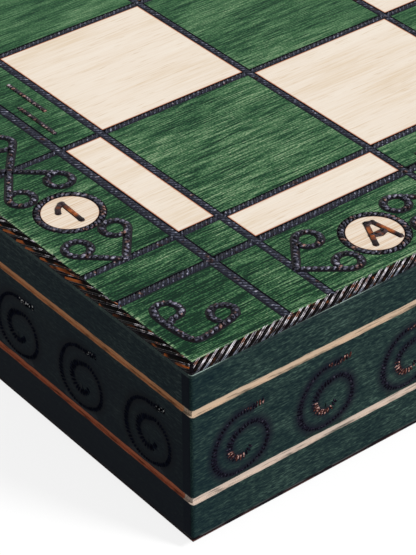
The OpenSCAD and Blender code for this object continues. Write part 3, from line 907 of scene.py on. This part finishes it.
# A spiral seen from outside its wall, from its tail to its inner end: angle in degrees, radius and width in
# millimetres
SPIRAL = (
    (52, 9.6, 1.8), (66, 7.8, 2.0), (85, 7.3, 1.6), (117, 6.8, 1.1), (152, 6.4, 1.1), (175, 6.65, 1.3),
    (212, 7.5, 1.7), (234, 7.75, 1.9), (261, 7.5, 1.8), (290, 7.3, 1.3), (314, 7.6, 0.9), (334, 7.5, 0.8),
    (352, 7.1, 0.9), (377, 6.4, 1.2), (407, 5.1, 1.5), (439, 3.3, 1.3), (488, 2.65, 1.3), (533, 2.75, 1.5),
    (574, 3.25, 2.1), (616, 3.85, 2.2), (651, 3.8, 1.9), (678, 3.35, 1.6),
)
SPIRAL_HEIGHT = RIM + 20.6 * MM
# A wall's spirals: their number, the first one's distance from the corner and their spacing, in millimetres
FRONT_SPIRALS = (18, 12.4, 22.66)
SIDE_SPIRALS = (8, 14.6, 22.95)
# Painted glints along a spiral, copper-coloured on the front and back and pale on the left and right, from its tail
# to its inner end: shares of its length, and how much there
FRONT_GLINTS = ((0, 0.08, 0.14, 0.83, 0.89, 0.96, 1), (0.8, 0.7, 0, 0, 0.8, 0.8, 0.2))
SIDE_GLINTS = ((0, 0.07, 0.11), (0.8, 0.7, 0))
# The painted glints are only on a dome's upper part
CREST = [0] * DOME_SIDES + [1] * (DOME_SIDES + 1)


def spiral(foot, right):
    """Places of one spiral on a wall, and their widths. foot is the wall's point under its centre."""
    turn, size, shift = RANDOM.uniform(-1, 1, 3)
    angles = np.arange(SPIRAL[0][0], SPIRAL[-1][0] + 1, 8)
    table = np.array(SPIRAL)
    radii = np.interp(angles, table[:, 0], table[:, 1]) * MM * (1.03 + 0.03 * size)
    widths = np.interp(angles, table[:, 0], table[:, 2]) * MM
    t = np.radians(angles + 4 * turn)
    centre = np.array([foot[0], foot[1], SPIRAL_HEIGHT + 0.3 * MM * shift])
    return centre + np.outer(radii * np.cos(t), right) + np.outer(radii * np.sin(t), UP), widths


def wall_spirals():
    """Spirals on the near half's three outer walls, as (points, widths, normal) lists."""
    lines = []
    count, first, spacing = FRONT_SPIRALS
    for i in range(count):
        foot = (-EDGE + (first + spacing * i) * MM, -EDGE)
        lines.append((*spiral(foot, (1, 0, 0)), (0, -1, 0)))
    count, first, spacing = SIDE_SPIRALS
    for i in range(count):
        y = -EDGE + (first + spacing * i) * MM
        lines.append((*spiral((-EDGE, y), (0, -1, 0)), (-1, 0, 0)))
        lines.append((*spiral((EDGE, y), (0, 1, 0)), (1, 0, 0)))
    return lines


def spirals():
    """The near half's spirals: halos on the front and on the sides, cords, and how much painted glint each cord's
    corner has.
    """
    front_halos, side_halos, cords, copper_glints = [], [], [], []
    line_top = LINE_HEIGHTS[0] + 0.9 * MM
    for line, widths, normal in wall_spirals():
        normal = np.array(normal, dtype=float)
        halos = front_halos if normal[1] else side_halos
        halos.append(halo(line, 0.5 * MM, 2.3 * MM, normal, 0.9 * MM))
        cords.append(cord(line, normal, widths, 0.15 * MM, 0.8 * MM, 80, 0.6 * MM, ragged=0.5))
        # Neither runs down across the lower light line
        for vertices, quads in (halos[-1], cords[-1]):
            vertices[:, 2] = np.maximum(vertices[:, 2], line_top)
        share = np.linspace(0, 1, len(cords[-1][0]))
        glints = FRONT_GLINTS if normal[1] else SIDE_GLINTS
        lit_crest = np.tile(CREST, len(share) // len(CREST))
        copper_glints.append(np.interp(share, *glints) * RANDOM.uniform(0.6, 1.0) * lit_crest)
    return front_halos, side_halos, cords, np.concatenate(copper_glints)


# The scene

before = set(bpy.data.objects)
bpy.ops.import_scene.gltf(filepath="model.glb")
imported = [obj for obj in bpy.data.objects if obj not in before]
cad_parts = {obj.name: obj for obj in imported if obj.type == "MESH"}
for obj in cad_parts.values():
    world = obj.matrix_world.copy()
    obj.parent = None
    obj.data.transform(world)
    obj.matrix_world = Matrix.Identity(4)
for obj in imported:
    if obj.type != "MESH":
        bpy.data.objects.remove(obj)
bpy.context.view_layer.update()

playing = playing_wood()
long_rail = rail_wood("long_rail_wood", 0, (1.0, 1.0, 1.0), (srgb(206, 188, 174), srgb(202, 178, 154)))
end_rail = rail_wood("end_rail_wood", 1, (1.05, 0.93, 1.02), (srgb(194, 116, 86), srgb(216, 157, 114)))
felt = felt_finish()
brass = brass_finish()

# The first ending that a node's name has gives its finish
ends = (("panel", playing), ("felt", felt), (("left_rail", "right_rail"), end_rail), ("rail", long_rail), ("", brass))
for name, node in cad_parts.items():
    node.data.materials.clear()
    node.data.materials.append(next(finish for ending, finish in ends if name.endswith(ending)))

# Each cord's pale colour is its painted highlight
groove_finish = burned_cord("groove_cord", -0.15, 0.07, (96, 100, 118), brown=0.0, deep=(30, 32, 42))
curl_finish = burned_cord("curl_cord", 0.06, 0.38, (112, 110, 128), brown=0.6, gloss=0.3)
ring_finish = burned_cord("ring_cord", -0.15, 0.26, (110, 108, 124), brown=0.8, gloss=0.3)
dash_finish = burned_cord("dash_cord", 0.06, 0.22, (170, 144, 142), brown=1.4, gloss=0.3)
core = core_finish()
hatched = spiral_finish("spiral_cord")
label_brown = label_finish()

curl_halos, curl_cords = curls()
core_chunks, dark_strands, highlight_strands = rope()
front_halos, side_halos, spiral_cords, spiral_glints = spirals()
# The near half's ornament, as name: (chunks, material, slot, values of scorch and of painted glints). The far half has
# the same, turned half round
ornament = {
    "groove_cords": (groove_cords(), groove_finish, "playing_wood", None),
    "curl_halos": (curl_halos, playing, "playing_wood", halo_scorch(curl_halos)),
    "curls": (curl_cords, curl_finish, "playing_wood", None),
    "rope_core": (core_chunks, core, "playing_wood", None),
    "rope_strands": (dark_strands, rope_finish(), "playing_wood", None),
    "rope_glints": (highlight_strands, highlight_strand_finish(), "playing_wood", None),
    "front_halos": (front_halos, long_rail, "rail_wood", halo_scorch(front_halos)),
    "side_halos": (side_halos, end_rail, "rail_wood", halo_scorch(side_halos)),
    "spirals": (spiral_cords, hatched, "rail_wood", spiral_glints),
}
for name, (chunks, finish, slot, scorch_and_glint) in ornament.items():
    quad_object("near_" + name, chunks, finish, "near_half", scorch_and_glint)
    quad_object("far_" + name, [turned(chunk) for chunk in chunks], finish, "far_half", scorch_and_glint)

for body, side in (("near_half", -1), ("far_half", 1)):
    half = body.split("_")[0]
    places = [place for place in disc_places() if place[1] * side > 0]
    rings = [chunk for x, y, text, flip in places for chunk in ring_cord(x, y)]
    quad_object(half + "_disc_rings", rings, ring_finish, body)
    labels = [label(*place) for place in places]
    strokes = [chunk for chunks, burned in labels for chunk in chunks]
    burned = np.concatenate([values for chunks, burned in labels for values in burned])
    quad_object(half + "_labels", strokes, label_brown, body, burned)
    ends = [label_ends(*place) for place in places]
    quad_object(half + "_label_ends", ends, label_brown, body, [1.0])
    quad_object(half + "_strip_dashes", strip_dashes(side), dash_finish, body)


# Floor, light and camera


FLOOR_REACH = 6.0
# Distance of the floor below the hinge barrels
FLOOR_DROP = 0.2 * MM


def seen_share(tree):
    """1 where the camera, gloss or glass looks, and 0 for other light."""
    path = tree.nodes.new("ShaderNodeLightPath").outputs
    seen = path["Is Camera Ray"]
    for kind in ("Is Glossy Ray", "Is Transmission Ray"):
        either = tree.nodes.new("ShaderNodeMath")
        either.operation = "MAXIMUM"
        tree.links.new(seen, either.inputs[0])
        tree.links.new(path[kind], either.inputs[1])
        seen = either.outputs[0]
    return seen


def floor():
    """A pale floor, which lies under the far half once that is folded. Part of the way, the far half hangs through
    it."""
    mesh = bpy.data.meshes.new("floor")
    corners = [(x * FLOOR_REACH, y * FLOOR_REACH, 0) for x, y in ((-1, -1), (1, -1), (1, 1), (-1, 1))]
    mesh.from_pydata(corners, [], [(0, 1, 2, 3)])
    piece = placed("floor", mesh)
    # A point just over the far half's playing surface is the lowest one once the board is folded
    over = placed("far_half_top", None)
    over.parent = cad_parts["far_panel"]
    over.location = (0, STRIP_EDGE, TOP + MM)
    follow = piece.constraints.new("COPY_LOCATION")
    follow.target = over
    follow.use_x = follow.use_y = False
    limit = piece.constraints.new("LIMIT_LOCATION")
    limit.use_max_z = True
    limit.max_z = -FLOOR_DROP
    f = Finish("floor", roughness=0.9, specular=0.1)
    seen = seen_share(f.tree)
    mesh.materials.append(f.finish(f.mix(seen, (0.30, 0.30, 0.30, 1), (0.18, 0.18, 0.18, 1))))
    f.shader.inputs["Emission Color"].default_value = (1, 1, 1, 1)
    # No light reaches the floor through the narrow gap between the halves
    x, y = f.axes()[:2]
    in_gap = f.times(f.below(f.size(y), 0.5 * MM), f.below(f.size(x), EDGE - 4 * MM))
    pale = f.math("SUBTRACT", 1.0, in_gap)
    f.put(f.shader.inputs["Emission Strength"], f.times(f.times(seen, 0.85), pale))


def light():
    """A soft key light from the front right, and a pale room."""
    sun = placed("key", bpy.data.lights.new("key", "SUN"))
    sun.data.energy = 3.2
    sun.data.angle = math.radians(14)
    toward = Vector((0.36, -0.68, 0.64))
    sun.rotation_euler = toward.to_track_quat("Z", "Y").to_euler()
    world = bpy.data.worlds.new("room")
    world.use_nodes = True
    tree = world.node_tree
    strength = tree.nodes.new("ShaderNodeMapRange")
    tree.links.new(seen_share(tree), strength.inputs["Value"])
    strength.inputs["To Min"].default_value = 0.30
    strength.inputs["To Max"].default_value = 1.0
    tree.links.new(strength.outputs[0], tree.nodes["Background"].inputs["Strength"])
    tree.nodes["Background"].inputs["Color"].default_value = (1, 1, 1, 1)
    bpy.context.scene.world = world


def camera():
    """The photograph's view, from above the near left corner."""
    azimuth, elevation, roll = (math.radians(angle) for angle in (-38.31, 35.50, -0.37))
    focal_pixels = 2390
    long_side_pixels = 555
    corner = Vector((-EDGE, -EDGE, RIM))
    data = bpy.data.cameras.new("camera")
    data.sensor_fit = "AUTO"
    data.sensor_width = 36.0
    data.lens = focal_pixels * data.sensor_width / long_side_pixels
    data.clip_start = 0.01
    piece = placed("camera", data)
    piece.location = corner + SQUARE * Vector((-5.306, -6.847, 7.761))
    level = math.cos(elevation)
    back = Vector((math.sin(azimuth) * level, -math.cos(azimuth) * level, math.sin(elevation)))
    right = Vector((0, 0, 1)).cross(back).normalized()
    up = back.cross(right)
    turn = Matrix((right, up, back)).transposed()
    piece.rotation_euler = (turn @ Matrix.Rotation(roll, 3, "Z")).to_euler()
    bpy.context.scene.camera = piece


floor()
light()
camera()
bpy.context.scene.view_settings.view_transform = "Standard"
